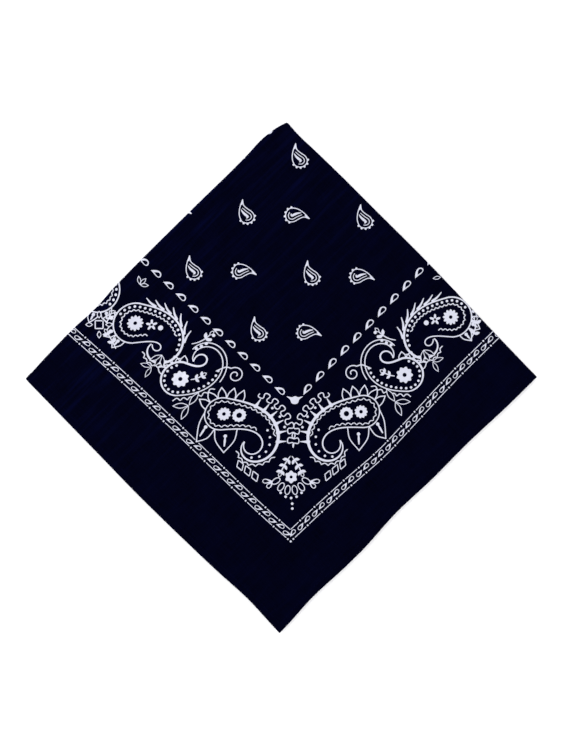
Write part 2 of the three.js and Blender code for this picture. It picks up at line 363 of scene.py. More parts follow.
def skin(layer, places, outer):
    """Points of one of the two skins of a layer.

    The reference face, moved square to itself: by the cloth's thickness, by that of the turned
    hem beside the edge, and round the edge of the hem by half of that as a half circle.
    """
    half = layer["hem"] / 2
    moved = places.astype(float).copy()
    drops = []
    for name in HEMS:
        distance = edge_distance(layer, name, places)
        angle = turn(distance, half, half)
        moved += np.outer(distance - turned_in(distance, half, angle), EDGES[name].out)
        drops.append(1 - np.cos(angle))
    drop = drops[0] + drops[1] - drops[0] * drops[1]
    nearest = np.minimum(*[edge_distance(layer, name, moved) for name in HEMS])
    in_hem = 1 - smooth_step(HEM_WIDTH - HEM_STEP, HEM_WIDTH, nearest)
    in_hem *= 0.35 + 0.65 * smooth_step(0, 3, edge_distance(layer, "upper_right", moved))
    over = layer["over"] + (layer["hem_over"] - layer["over"]) * in_hem
    whole = CLOTH + (layer["hem"] - CLOTH) * in_hem
    offset = over - whole * drop / 2 if outer else over - whole * (1 - drop / 2)
    return reference_face(layer, moved) + across_face(layer, moved) * offset[:, None]


def turn_rows(name, layer, turn_steps, apart):
    """Distances in from an edge of the rows of places beside it, from the end of its turn."""
    if name in HEMS:
        width = depth = layer["hem"] / 2
        rest = [1.3, 3.0, 4.6, 5.3, 5.55, 5.8, 6.0, 6.6]
    else:
        width, depth = FOLDS[name]
        rest = [width + 0.7, width + 1.8]
    arc = turn_length(width, depth)
    rows = width - arc * np.arange(turn_steps, -1, -1) / turn_steps
    return np.concatenate([rows, rest[::1 if apart < 4 else 2]])


def cloth_grid(layer, across, along):
    """Places all over a layer, in rows that run with its edges, as a grid of two coordinates.

    The first coordinate goes from the stacked folds to the lower left hem, and the second from
    the nested fold to the lower right hem. Beside an edge a row keeps an exact distance from it,
    and between them it keeps its share of the width. Each place is found by four steps towards
    the distances that it should have.
    """
    targets = []
    for one, other, apart in (
            ("upper_right", "lower_left", along), ("upper_left", "lower_right", across)):
        steps = 5 if apart < 4 else 3
        near = turn_rows(one, layer, steps, apart)
        far = turn_rows(other, layer, steps, apart)[::-1]
        count = int((SIDE - near[-1] - far[0]) / apart)
        between = np.linspace(near[-1], SIDE - far[0], count + 1)[1:-1] / SIDE
        targets.append((one, other, near, between, far))

    sizes = [len(near) + len(between) + len(far) for _, _, near, between, far in targets]
    start = np.linspace(0.02, 0.98, sizes[0]), np.linspace(0.02, 0.98, sizes[1])
    first, second = [share.ravel() for share in np.meshgrid(*start, indexing="ij")]
    top, left, right = (np.array(CORNERS[name]) for name in ("top", "left", "right"))
    places = top + np.outer(first, left - top) + np.outer(second, right - top)
    for _ in range(5):
        for axis, (one, other, near, between, far) in enumerate(targets):
            from_one = edge_distance(layer, one, places).reshape(sizes)
            from_other = edge_distance(layer, other, places).reshape(sizes)
            if axis:
                from_one, from_other = from_one.T, from_other.T
            row = np.arange(len(from_one))[:, None]
            shares = np.concatenate([near * 0, between, far * 0])[:, None]
            wanted = np.concatenate([near, between * 0, far])[:, None]
            short = shares * (from_one + from_other) - from_one
            short = np.where(row < len(near), wanted - from_one, short)
            short = np.where(row >= len(near) + len(between), from_other - wanted, short)
            if axis:
                short = short.T
            places -= np.outer(short.ravel(), EDGES[one].out)
    return places.reshape(*sizes, 2), [(len(near), len(far)) for _, _, near, _, far in targets]


def grid_edge(rows, columns):
    """Indices of the places round a grid, anticlockwise from its first place in plan."""
    index = np.arange(rows * columns).reshape(rows, columns)
    return np.concatenate([index[:-1, 0], index[-1, :-1], index[:0:-1, -1], index[0, :0:-1]])


def grid_lines(rows, columns, first_ends, second_ends):
    """Lines along the rows of a grid beside its four edges, which the split cloth keeps."""
    index = np.arange(rows * columns).reshape(rows, columns)
    kept = [*range(1, first_ends[0]), *range(rows - first_ends[1], rows - 1)]
    lines = [np.column_stack([index[row, :-1], index[row, 1:]]) for row in kept]
    kept = [*range(1, second_ends[0]), *range(columns - second_ends[1], columns - 1)]
    lines += [np.column_stack([index[:-1, column], index[1:, column]]) for column in kept]
    return np.concatenate(lines)


def winding(polygon, places):
    """Whether each place lies in a closed polygon, by how often it winds round the place."""
    following = np.roll(polygon, -1, axis=0)
    x, y = places[:, 0, None], places[:, 1, None]
    rising = (polygon[:, 1] <= y) & (following[:, 1] > y)
    falling = (polygon[:, 1] > y) & (following[:, 1] <= y)
    side = (following[:, 0] - polygon[:, 0]) * (y - polygon[:, 1]) - (
        following[:, 1] - polygon[:, 1]) * (x - polygon[:, 0])
    return (rising & (side > 0)).sum(1) != (falling & (side < 0)).sum(1)


def split_cloth(edge, places, kept_lines, shapes):
    """Triangles of the flat cloth, split along the outlines of the printed shapes.

    The edge is the indices of the places round the cloth. Returns the places, the triangles and
    whether each is printed. Later shapes lie over earlier ones, and each is (polygon, whether it
    is pale).
    """
    lines = [np.column_stack([edge, np.roll(edge, -1)]), kept_lines]
    start = len(places)
    for polygon, pale in shapes:
        index = np.arange(len(polygon)) + start
        lines.append(np.column_stack([index, np.roll(index, -1)]))
        start += len(polygon)
    lines = np.concatenate(lines)
    all_places = np.concatenate([places] + [polygon for polygon, pale in shapes])
    found = delaunay_2d_cdt(
        [Vector(place) for place in all_places.tolist()], lines.tolist(), [], 0, 1e-5, False)
    flat = np.array([tuple(place) for place in found[0]])
    triangles = np.array([face for face in found[2]])
    middles = flat[triangles].mean(1)
    kept = winding(places[edge], middles)
    triangles, middles = triangles[kept], middles[kept]
    printed = np.zeros(len(triangles), bool)
    for polygon, pale in shapes:
        low, high = polygon.min(0), polygon.max(0)
        near = np.flatnonzero(((middles > low) & (middles < high)).all(1))
        if len(near):
            printed[near[winding(polygon, middles[near])]] = pale
    used, triangles = np.unique(triangles, return_inverse=True)
    return flat[used], triangles.reshape(-1, 3), printed


def rim_of(triangles):
    """The places round the edge of a sheet of triangles, in order."""
    sides = np.concatenate([triangles[:, [0, 1]], triangles[:, [1, 2]], triangles[:, [2, 0]]])
    there = set(map(tuple, sides.tolist()))
    after = {a: b for a, b in there if (b, a) not in there}
    first = next(iter(after))
    rim = [first]
    while after[rim[-1]] != first:
        rim.append(after[rim[-1]])
    return np.array(rim)


def make_quarter(name, shapes, across=1.4, along=3.0):
    """One layer of the folded cloth, as a closed thin shell with its print.

    The outer skin is split along the print. The inner skin has the same edge, and the two share
    it round the hems and are joined by a narrow strip where the fold goes on in the next layer.
    """
    layer = LAYERS[name]
    grid, ends = cloth_grid(layer, across, along)
    rows, columns = grid.shape[:2]
    flat, triangles, printed = split_cloth(
        grid_edge(rows, columns), grid.reshape(-1, 2), grid_lines(rows, columns, *ends), shapes)
    rim = rim_of(triangles)

    coarse, ends = cloth_grid(layer, 6.0, 9.0)
    rows, columns = coarse.shape[:2]
    lines = grid_lines(rows, columns, *ends) + len(rim)
    inside = np.ones((rows, columns), bool)
    inside[[0, -1]] = inside[:, [0, -1]] = False
    lines = lines[inside.ravel()[lines - len(rim)].all(1)]
    back_places = np.concatenate([flat[rim], coarse.reshape(-1, 2)])
    kept = np.concatenate([np.ones(len(rim), bool), inside.ravel()])
    new_index = np.cumsum(kept) - 1
    back_flat, back_triangles, _ = split_cloth(
        np.arange(len(rim)), back_places[kept], new_index[lines], [])
    place_of = {tuple(np.round(place, 4)): index for index, place in enumerate(back_flat)}
    back_rim = np.array([place_of[tuple(np.round(place, 4))] for place in flat[rim]])

    outer = skin(layer, flat, outer=True)
    inner = skin(layer, back_flat, outer=False)
    reach = layer["hem"] / 2 - turn_length(layer["hem"] / 2, layer["hem"] / 2)
    hem = np.minimum(*[edge_distance(layer, name, flat[rim]) for name in HEMS])
    on_hem = hem < reach + 0.02

    index = np.arange(len(inner)) + len(outer)
    index[back_rim[on_hem]] = rim[on_hem]
    back = index[back_triangles][:, ::-1]
    strips, strip_places = [], []
    rows = len(rim)
    for here, there in zip(range(rows), np.roll(range(rows), -1)):
        a, b = rim[here], rim[there]
        c, d = index[back_rim[there]], index[back_rim[here]]
        low, high = here / rows, (here + 1) / rows
        if b != c:
            strips.append((b, a, c))
            strip_places.append([(0, high), (0, low), (1, high)])
        if a != d:
            strips.append((a, d, c))
            strip_places.append([(0, low), (1, low), (1, high)])
    strips, strip_places = np.array(strips), np.array(strip_places, float)
    points = np.concatenate([outer, inner])
    faces = np.concatenate([triangles, back, strips])
    ink = np.concatenate([printed, np.zeros(len(back) + len(strips), bool)]).astype(int)

    # Threads run with the hems, and each part of the shell has its own patch of the bake map
    turned = np.array([(1, 1), (-1, 1)]) * math.sqrt(0.5)
    face_places, back_places = flat @ turned, back_flat @ turned
    threads = np.concatenate([
        face_places[triangles],
        back_places[back_triangles][:, ::-1],
        face_places[strips[:, :1]] + strip_places])
    low, reach = face_places.min(0), np.ptp(face_places, axis=0).max()
    bake = np.concatenate([
        0.004 + 0.83 * (face_places[triangles] - low) / reach,
        (0.845, 0.004) + 0.15 * (back_places[back_triangles][:, ::-1] - low) / reach,
        (0.87, 0.17) + strip_places * (0.02, 0.8)])

    run = points[strips]
    square = np.cross(run[:, 1] - run[:, 0], run[:, 2] - run[:, 0])
    square /= np.maximum(np.linalg.norm(square, axis=1, keepdims=True), 1e-9)
    if layer["up"] < 0:
        square = -square
    normals = np.concatenate([
        skin_normals(layer, flat, True)[triangles],
        skin_normals(layer, back_flat, False)[back_triangles][:, ::-1],
        np.repeat(square[:, None], 3, axis=1)])
    if layer["up"] < 0:
        faces, threads, bake, normals = (each[:, ::-1] for each in (faces, threads, bake, normals))
    return {
        "points": points, "faces": faces, "ink": ink, "bake": bake.reshape(-1, 2),
        "threads": threads.reshape(-1, 2), "normals": normals.reshape(-1, 3)}


def smooth(points, closed=False):
    """A smooth line through points, cut into even steps.

    Each stretch is a cubic whose slopes come from the points beside it.
    """
    points = np.asarray(points, float)
    if closed:
        points = np.concatenate([points[-1:], points, points[:2]])
    else:
        points = np.concatenate([2 * points[:1] - points[1:2], points, 2 * points[-1:] - points[-2:-1]])
    found = []
    for before, start, end, after in zip(points, points[1:], points[2:], points[3:]):
        t = np.linspace(0, 1, 12, endpoint=False)[:, None]
        found.append(
            0.5 * (2 * start + (end - before) * t
                   + (2 * before - 5 * start + 4 * end - after) * t ** 2
                   + (3 * start - before - 3 * end + after) * t ** 3))
    line = np.concatenate(found + ([] if closed else [points[-2:-1]]))
    return even(line, LINE_STEP, closed)


def even(line, step, closed=False):
    """The same line with its points an even distance apart."""
    if closed:
        line = np.concatenate([line, line[:1]])
    lengths = np.concatenate([[0], np.cumsum(np.hypot(*np.diff(line, axis=0).T))])
    count = max(2, int(round(lengths[-1] / step)))
    at = np.linspace(0, lengths[-1], count + 1)
    if closed:
        at = at[:-1]
    return np.column_stack([np.interp(at, lengths, line[:, axis]) for axis in (0, 1)])


def sideways(line, closed=False):
    """Unit vectors to the left of a line at its points."""
    if closed:
        run = np.roll(line, -1, axis=0) - np.roll(line, 1, axis=0)
    else:
        run = np.gradient(line, axis=0)
    run /= np.maximum(np.hypot(*run.T), 1e-9)[:, None]
    return np.column_stack([-run[:, 1], run[:, 0]])


def shares_along(line):
    """The share of a line's length at each of its points, and the length."""
    lengths = np.concatenate([[0], np.cumsum(np.hypot(*np.diff(line, axis=0).T))])
    return lengths / lengths[-1], lengths[-1]


def stroke(line, width=LINE, closed=False):
    """A brush stroke: the line moved half a width to each side, with round ends.

    The width is one number, or a list of widths at even shares of the line.
    """
    line = np.asarray(line, float)
    if np.ndim(width):
        share, _ = shares_along(line)
        half = np.interp(share, np.linspace(0, 1, len(width)), width) / 2 * INK_SPREAD
    else:
        half = np.full(len(line), width / 2 * INK_SPREAD)
    side = sideways(line, closed)
    left = line + side * half[:, None]
    right = line - side * half[:, None]
    if closed:
        return np.concatenate([left, left[:1], right[:1], right[:0:-1]])
    caps = []
    for end, sign in ((-1, 1), (0, -1)):
        angle = np.linspace(0, math.pi, 5)[1:-1]
        start = sign * side[end]
        ahead = np.array([start[1], -start[0]])
        round_end = np.outer(np.cos(angle), start) + np.outer(np.sin(angle), ahead)
        caps.append(line[end] + half[end] * round_end)
    return np.concatenate([left, caps[0], right[::-1], caps[1]])


def scallops(line, reach, period):
    """A row of round lobes along a line, each half of a wave folded over to the same side."""
    line = even(line, 0.55)
    share, length = shares_along(line)
    turn = math.pi * share * max(1, round(length / period))
    swing = np.abs(np.sin(turn)) * 2 - 1
    return line + sideways(line) * (swing * reach)[:, None]


def meander(line, reach, period, lean=0.3):
    """A deep wave whose crests swell out sideways, so that it doubles back like a ribbon."""
    line = even(line, 0.45)
    share, length = shares_along(line)
    turn = 2 * math.pi * share * length / period
    side = sideways(line)
    run = np.column_stack([side[:, 1], -side[:, 0]])
    return (line + side * (np.sin(turn) * reach)[:, None]
            - run * (np.sin(2 * turn) * lean * period / 2)[:, None])


def beads(line, count, radius, start=0.0, end=1.0):
    """Round dots at even shares of a line."""
    share, _ = shares_along(line)
    at = np.linspace(start, end, count)
    where = np.column_stack([np.interp(at, share, line[:, axis]) for axis in (0, 1)])
    return [disc(place, radius) for place in where]


def disc(centre, radius, sides=12):
    """A round dot."""
    angle = np.arange(sides) * 2 * math.pi / sides
    return np.asarray(centre) + radius * np.column_stack([np.cos(angle), np.sin(angle)])


def oval(centre, long, wide, angle=0, sides=18):
    """An ellipse from its two radii, turned by an angle in degrees. With four sides it is a lozenge."""
    turned = math.radians(angle)
    t = np.arange(sides) * 2 * math.pi / sides
    x, y = long * np.cos(t), wide * np.sin(t)
    return np.asarray(centre) + np.column_stack([
        x * math.cos(turned) - y * math.sin(turned), x * math.sin(turned) + y * math.cos(turned)])


def leaf(start, end, width, steps=9):
    """A leaf between two points: half a sine wave on each side, widest in the middle."""
    start, end = np.asarray(start, float), np.asarray(end, float)
    run = end - start
    left = np.array([-run[1], run[0]]) / np.hypot(*run)
    share = np.linspace(0, 1, steps)
    half = width / 2 * np.sin(math.pi * share)
    middle = start + np.outer(share, run)
    return np.concatenate([middle + np.outer(half, left), (middle - np.outer(half, left))[-2:0:-1]])


def drop(tail, head, width, bend=0.0, sides=22):
    """A drop with its point at tail and its round end at head, after a piriform curve.

    Across, it is half a width times the sine of the angle times a power of the sine of half of
    it. The factor brings its widest place to the width.
    """
    tail, head = np.asarray(tail, float), np.asarray(head, float)
    run = head - tail
    left = np.array([-run[1], run[0]]) / np.hypot(*run)
    t = np.linspace(0, 2 * math.pi, sides, endpoint=False)
    along = (1 - np.cos(t)) / 2
    across = width / 2 * np.sin(t) * np.sin(t / 2) ** DROP_POWER * DROP_FACTOR
    across = across + 4 * bend * along * (1 - along)
    return tail + np.outer(along, run) + np.outer(across, left)


def blossom(centre, radius, petals, depth=0.12, start=0.0, pointed=False, steps=6):
    """A flower head: a circle whose radius swells at each petal."""
    count = petals * steps
    angle = np.arange(count) * 2 * math.pi / count
    swing = np.cos(petals * angle)
    if pointed:
        swing = np.abs(np.cos(petals * angle / 2)) * 2 - 1
    reach = radius * (1 - depth + depth * swing)
    turned = angle + math.radians(start)
    return np.asarray(centre) + reach[:, None] * np.column_stack([np.cos(turned), np.sin(turned)])


def beside(line, distance):
    """A line that keeps a distance to the left of another one."""
    return line + sideways(line) * distance


def part(line, start, end):
    """The stretch of a line between two shares of its length."""
    share, _ = shares_along(line)
    at = np.linspace(start, end, max(3, int(len(line) * (end - start))))
    return np.column_stack([np.interp(at, share, line[:, axis]) for axis in (0, 1)])


def in_frame(origin, along, across, places):
    """Places of a motif's own frame, put on the cloth: along and across from an origin."""
    places = np.asarray(places, float)
    return np.asarray(origin) + np.outer(places[..., 0], along) + np.outer(places[..., 1], across)


class Drawing:
    """A list of shapes, pale on navy or navy on pale, laid one over the other."""

    def __init__(self):
        self.shapes = []

    def fill(self, *polygons):
        """Pale shapes."""
        self.shapes += [(np.asarray(polygon), True) for polygon in polygons]

    def clear(self, *polygons):
        """Shapes that show the cloth's own colour."""
        self.shapes += [(np.asarray(polygon), False) for polygon in polygons]

    def line(self, points, width=LINE, closed=False):
        """A line through points that lie close together."""
        self.fill(stroke(points, width, closed))

    def curve(self, points, width=LINE, closed=False):
        """A smooth line through points that lie apart."""
        self.fill(stroke(smooth(points, closed), width, closed))

    def corners(self, points, width=LINE, closed=False):
        """A line with straight runs between its points."""
        self.fill(stroke(even(np.array(points, float), LINE_STEP, closed), width, closed))

    def hollow_leaf(self, start, end, width, line=1.0):
        """A leaf drawn as an outline, whose line is thicker towards its two points."""
        start, end = np.array(start, float), np.array(end, float)
        line = line * INK_SPREAD
        inset = 1.5 * line * (end - start) / np.hypot(*(end - start))
        self.fill(leaf(start, end, width))
        self.clear(leaf(start + inset, end - inset, width - 1.7 * line))

    def hollow_oval(self, centre, long, wide, angle, line=1.0):
        """An ellipse drawn as an outline."""
        self.fill(oval(centre, long, wide, angle))
        line = line * INK_SPREAD
        self.clear(oval(centre, long - line, wide - line, angle))

    def hollow_drop(self, tail, head, width, bend=0.0, line=1.0):
        """A drop drawn as an outline, solid towards its tail."""
        tail, head = np.array(tail, float), np.array(head, float)
        run = (head - tail) / np.hypot(*(head - tail))
        self.fill(drop(tail, head, width, bend))
        length = np.hypot(*(head - tail))
        line = line * INK_SPREAD
        self.clear(drop(tail + 0.34 * length * run, head - line * run, width - 2 * line, bend * 0.5))

    def flower(self, centre, radius, petals, depth, hole, pointed=False, start=0.0):
        """A flower head with a round hole in its middle."""
        self.fill(blossom(centre, radius, petals, depth, start, pointed))
        self.clear(disc(centre, hole))


class Paisley:
    """A paisley round a spine that leaves its head and curls more and more towards its tip.

    The spine's direction turns by the bend times a power of the share of its length. Half of the
    width is the head's radius times a power of the share that is left.
    """

    def __init__(self, name):
        self.head, self.radius, self.heading, length, bend, late, taper = PAISLEYS[name]
        share = np.linspace(0, 1, 90)
        angle = np.radians(self.heading + bend * share ** late)
        run = np.column_stack([np.cos(angle), np.sin(angle)])
        self.spine = np.array(self.head) + np.cumsum(run, axis=0) * length / len(share)
        self.square = np.column_stack([-run[:, 1], run[:, 0]])
        self.half = self.radius * (1 - share) ** taper

    def outline(self, inset=0.0):
        """The line at an inset, from the tip along the left side, round the head and back."""
        kept = self.half > max(inset, 0.02)
        reach = self.square[kept] * (self.half[kept] - inset)[:, None]
        angle = np.radians(self.heading + np.linspace(90, 270, 24)[1:-1])
        cap = self.head + (self.radius - inset) * np.column_stack([np.cos(angle), np.sin(angle)])
        left, right = self.spine[kept] + reach, self.spine[kept] - reach
        return even(np.concatenate([left[::-1], cap, right]), LINE_STEP)

    def at(self, share):
        """The place at a share of the spine."""
        return self.spine[int(share * (len(self.spine) - 1))]


def arches(draw, line, start, end, count, height, lean=0.0, cane=False):
    """Pointed arches on the left of a stretch of a line, or on its right where the height is negative.

    The lean moves their tips along the line by a share of their width.
    """
    foot = part(line, start, end)
    foot = even(foot, shares_along(foot)[1] / count)
    side = sideways(foot)
    for here, there, out in zip(foot, foot[1:], side):
        tip = (here + there) / 2 + out * height + (there - here) * lean
        for root, swell in ((here, -0.16), (there, 0.16)):
            draw.curve([root, (root + tip) / 2 + (there - here) * swell, tip], 1.2)
        if cane:
            top = (here + there) / 2 + out * height * 0.3
            draw.line(even(np.array([top, top + out * height * 0.42]), 0.6), [1.2, 2.4, 1.4])
            draw.fill(disc(top, 1.3))


def teeth(draw, line, start, end, count, length, width):
    """Teeth on the right of a stretch of a line, wide at the foot and blunt at the tip."""
    foot = part(line, start, end)
    foot = even(foot, shares_along(foot)[1] / (count - 1))
    for place, out in zip(foot, -sideways(foot)):
        draw.line(even(np.array([place, place + out * length]), LINE_STEP),
                  [width, width * 0.62, width * 0.4, width * 0.3, 0.9])


def leaf_fan(draw, root, length, width, angles, line=1.0):
    """Outlined leaves that leave one place at the given angles."""
    for angle in angles:
        draw.hollow_leaf(root, np.array(root) + length * axes(angle)[0], width, line=line)


def sprig(draw, root, heading, length, bend, pairs, leaf_length=5.0):
    """A stem along an arc with leaves on both sides and one at its end."""
    angle = np.radians(heading + bend * np.linspace(0, 1, 12))
    stem = root + np.cumsum(np.column_stack([np.cos(angle), np.sin(angle)]), axis=0) * length / 12
    draw.line(stem, [1.0, 1.4, 1.2])
    for share in (np.arange(pairs) + 0.7) / pairs:
        number = min(int(share * 12), 11)
        for side in (-52, 52):
            tip = stem[number] + leaf_length * axes(math.degrees(angle[number]) + side)[0]
            draw.fill(leaf(stem[number], tip, leaf_length * 0.5))
    draw.hollow_leaf(stem[-1], stem[-1] + leaf_length * axes(heading + bend)[0], 2.8, line=0.9)


def scroll(draw, centre, radius, start, turns):
    """A spiral whose radius shrinks evenly to a fifth."""
    share = np.linspace(0, 1, 40)
    angle = np.radians(start + 360 * turns * share)
    reach = radius * (1 - 0.8 * share)
    spiral = reach[:, None] * np.column_stack([np.cos(angle), np.sin(angle)])
    draw.line(np.array(centre) + spiral, 1.25)


def inner_paisley(draw):
    """The paisley nearest the corner: teeth on its back, arches below and feathers at its head."""
    body = Paisley("inner")
    outline = body.outline()
    draw.line(outline, [1.2, 1.6, 1.4, 1.2, 1.3, 2.6, 3.4, 2.4, 1.2])
    draw.line(scallops(part(body.outline(2.6), 0.18, 0.84), reach=0.7, period=4.4), 1.0)
    teeth(draw, outline, 0.61, 0.78, count=6, length=6.0, width=5.0)
    arches(draw, outline, 0.24, 0.4, count=2, height=-18, cane=True)
    arches(draw, outline, 0.41, 0.56, count=5, height=-8.5, lean=0.2)
    draw.flower(body.at(0.02), 5.0, petals=11, depth=0.1, hole=1.4, pointed=True)
    draw.flower(body.at(0.155), 5.2, petals=12, depth=0.06, hole=2.1)
    draw.fill(*beads(body.spine[40:72], 6, 0.9))
    draw.line(meander(part(body.outline(-9.5), 0.5, 0.7), reach=2.6, period=7.5), 1.2)
    draw.line(scallops(part(body.outline(-2.8), 0.8, 0.96), reach=0.75, period=5.0), 1.15)
    draw.fill(*beads(part(body.outline(-5.4), 0.58, 0.66), 3, 0.95))
    for number in range(3):
        centre = np.array((35.5, -74.5)) + number * np.array((5.6, 4.4))
        draw.corners(oval(centre, 4.4, 2.5, 70, sides=4), closed=True)


def middle_paisley(draw):
    """The paisley in the middle of a side of the border, curling over at its tip."""
    body = Paisley("middle")
    outline = body.outline()
    draw.line(outline, [1.2, 1.3, 1.3, 1.3, 2.2, 2.2, 1.4])
    draw.line(part(body.outline(-3.0), 0.06, 0.36), 1.2)
    draw.line(scallops(part(body.outline(-3.2), 0.4, 0.58), reach=1.0, period=5.0), 1.15)
    draw.fill(*beads(part(body.outline(2.4), 0.2, 0.7), 18, 0.95))
    draw.flower(body.at(0.02), 6.4, petals=9, depth=0.1, hole=1.6)
    sprig(draw, body.at(0.14), 178, length=9, bend=-30, pairs=2, leaf_length=4.0)
    arches(draw, outline, 0.66, 0.8, count=4, height=-5.5, lean=0.1)
    scroll(draw, (54.2, 3.2), radius=6.2, start=60, turns=1.4)
    draw.curve([(68, 7), (61.5, 9.6), (57.3, 8.6)], 1.3)


def outer_paisley(draw):
    """The large paisley by the fold, feathered on its back."""
    body = Paisley("outer")
    outline = body.outline()
    draw.line(outline, [1.2, 1.3, 1.4, 1.6, 1.6, 1.8, 2.4, 2.6, 1.4])
    draw.fill(*beads(part(body.outline(2.5), 0.42, 0.84), 18, 0.98))
    draw.line(scallops(part(body.outline(5.2), 0.22, 0.84), reach=0.6, period=3.4), 1.1)
    draw.flower(body.at(0.01), 6.0, petals=12, depth=0.13, hole=1.4, pointed=True)
    draw.flower(body.at(0.2), 4.4, petals=5, depth=0.34, hole=1.0, start=90)
    draw.fill(disc(body.at(0.31), 1.9))
    foot = part(body.outline(-1.0), 0.52, 0.74)
    for place, out, run in list(zip(foot, -sideways(foot), np.gradient(foot, axis=0)))[::9]:
        feather = [place, place + out * 1.2 - run * 6, place + out * 3.6 - run * 12]
        draw.line(smooth(feather), [2.6, 2.0, 1.0])
    arches(draw, outline, 0.22, 0.37, count=3, height=-9, cane=True)
    draw.line(scallops(part(body.outline(-2.8), 0.78, 0.96), reach=0.7, period=4.4), 1.15)
    leaf_fan(draw, (108, 21), length=10, width=3.6, angles=(-95, -60, -25))
    leaf_fan(draw, (115, 12), length=9, width=3.4, angles=(-60, 20), line=0.9)


def sprigs(draw):
    """The small sprigs and leaves round the paisleys of one side."""
    draw.fill(*beads(smooth([(71.4, 34.2), (76, 28.6), (83.5, 24.8)]), 5, 1.2))
    sprig(draw, np.array((88.0, 28.4)), 176, length=15, bend=-40, pairs=1)
    leaf_fan(draw, (86.5, -18.4), length=12, width=4.4, angles=(125, 0, -65), line=1.1)


def fold_sprigs(draw):
    """The sprig between the large paisley and the fold."""
    sprig(draw, np.array((142.5, 27.5)), 50, length=16, bend=40, pairs=2)
    draw.hollow_oval((149.5, 48.6), 3.0, 1.7, 105, 0.9)


def field_paisley(draw, centre, angle):
    """A small paisley of the field: a bent drop, 19 by 11 mm, with a curl in it and nubs."""
    place_of = axes(angle)
    outline = smooth([
        (12.6, -0.2), (8.3, 0.1), (4.8, -2.1), (1.7, -4.7), (-1.8, -5.5), (-4.7, -3.6), (-5.6, 0.2),
        (-3.7, 4.2), (0.2, 5.3), (4, 4.8), (8.2, 2.9), (12.6, -0.2)])
    draw.line(in_frame(centre, *place_of, outline), 1.05)
    draw.line(in_frame(centre, *place_of, [(12.6, -0.2), (11, 0.7), (9.2, 1.3)]), [0.9, 1.6, 1.4])
    curl = smooth([(6.4, 1.5), (3, -0.9), (0.4, -3.1), (-2.2, -3.1), (-3.5, -0.9), (-3, 1.4)])
    draw.line(in_frame(centre, *place_of, curl), [0.7, 0.9, 0.95, 0.8])
    comma = smooth([(5.6, 2.9), (3, 1.9), (0.8, 0.5), (-1, -0.8), (-1.6, 0.4)])
    draw.line(in_frame(centre, *place_of, comma), [0.7, 1.9, 2.7, 2.6, 1.2])
    nubs = beads(beside(outline, 0.6), 6, 0.8, 0.33, 0.65)
    draw.fill(*[in_frame(centre, *place_of, nub) for nub in nubs])


def field(draw):
    """The field's paisleys, on a lattice of two slanting steps, two to a cell."""
    for i in range(-2, 3):
        for j in range(-2, 3):
            at = np.array(FIELD_START) + i * FIELD_STEPS[0] + j * FIELD_STEPS[1]
            upright = at + (0.5, -3.6)
            lying = at + (-4.5, -45.6)
            for centre, angle in ((upright, 105), (lying, -11.5)):
                if in_field(centre):
                    field_paisley(draw, centre, angle)
    draw.fill(leaf((-10.4, 185.4), (-6.6, 187.6), 2.2))


def in_field(centre):
    """Whether a place is within the folds, or a little past them, and above the border."""
    x, y = centre
    return y > 2 + abs(x - 10) and y < 222 - abs(x - 4)


def drop_row(draw):
    """The row of drops along each side of the border, and the piece where the rows meet."""
    for first, step, count, tail, head in (
            ((19.9, -9.0), (9.42, 9.84), 12, (-3.0, -4.4), (2.7, 3.5)),
            ((-0.6, -9.8), (-9.40, 8.91), 13, (-4.7, 2.3), (3.0, -2.6))):
        for number in range(count):
            at = np.array(first) + number * np.array(step)
            draw.hollow_drop(at + tail, at + head, 5.0, 0.7, 1.35)
    draw.fill(smooth([(4, -14.3), (8, -15), (10.6, -14.2), (13, -15), (16.6, -14.3), (13.8, -16.6),
                      (12.6, -19.4), (10.2, -20.2), (7.8, -19.4), (6.6, -16.6)], closed=True))


def on_side(side_axes, bow, places):
    """Places along and inwards of a side of the frame, bowed as the cloth is."""
    at, line = np.array(places, float).T
    bow_at, bow_by = np.array(bow).T
    bowed = np.column_stack([at, line + np.interp(at, bow_at, bow_by)])
    return in_frame(FRAME_CORNER, *np.array(side_axes), bowed)


def border_frame(draw):
    """The band along the hems: two lines of dashes and dots, with pairs of drops tail to tail."""
    draw.fill(disc(FRAME_CORNER, 0.8, 10))
    for side_axes, period, slip, lean, bow in FRAME_SIDES:
        for number in range(FRAME_COUNT):
            dot = FRAME_FIRST_DOT + number * period
            for line, moved in ((0, 0), (FRAME_WIDTH, -slip)):
                if dot + moved > line * 0.9:
                    draw.fill(disc(on_side(side_axes, bow, [(dot + moved, line)])[0], 0.7, 10))
                start = max(dot + moved + 1.9, line)
                dash = even(np.array([(start, line), (dot + moved + period - 1.9, line)]), 3)
                draw.line(on_side(side_axes, bow, dash), 0.85)
            for side in (1, -1):
                if dot + side * 7 < FRAME_WIDTH + 1:
                    continue
                tail, head = on_side(side_axes, bow, [
                    (dot - slip / 2 + side * 0.1, FRAME_WIDTH / 2 - side * lean * 0.6),
                    (dot - slip / 2 + side * 6.6, FRAME_WIDTH / 2 + side * lean)])
                draw.hollow_drop(tail, head, 3.5, 0.2, 0.85)


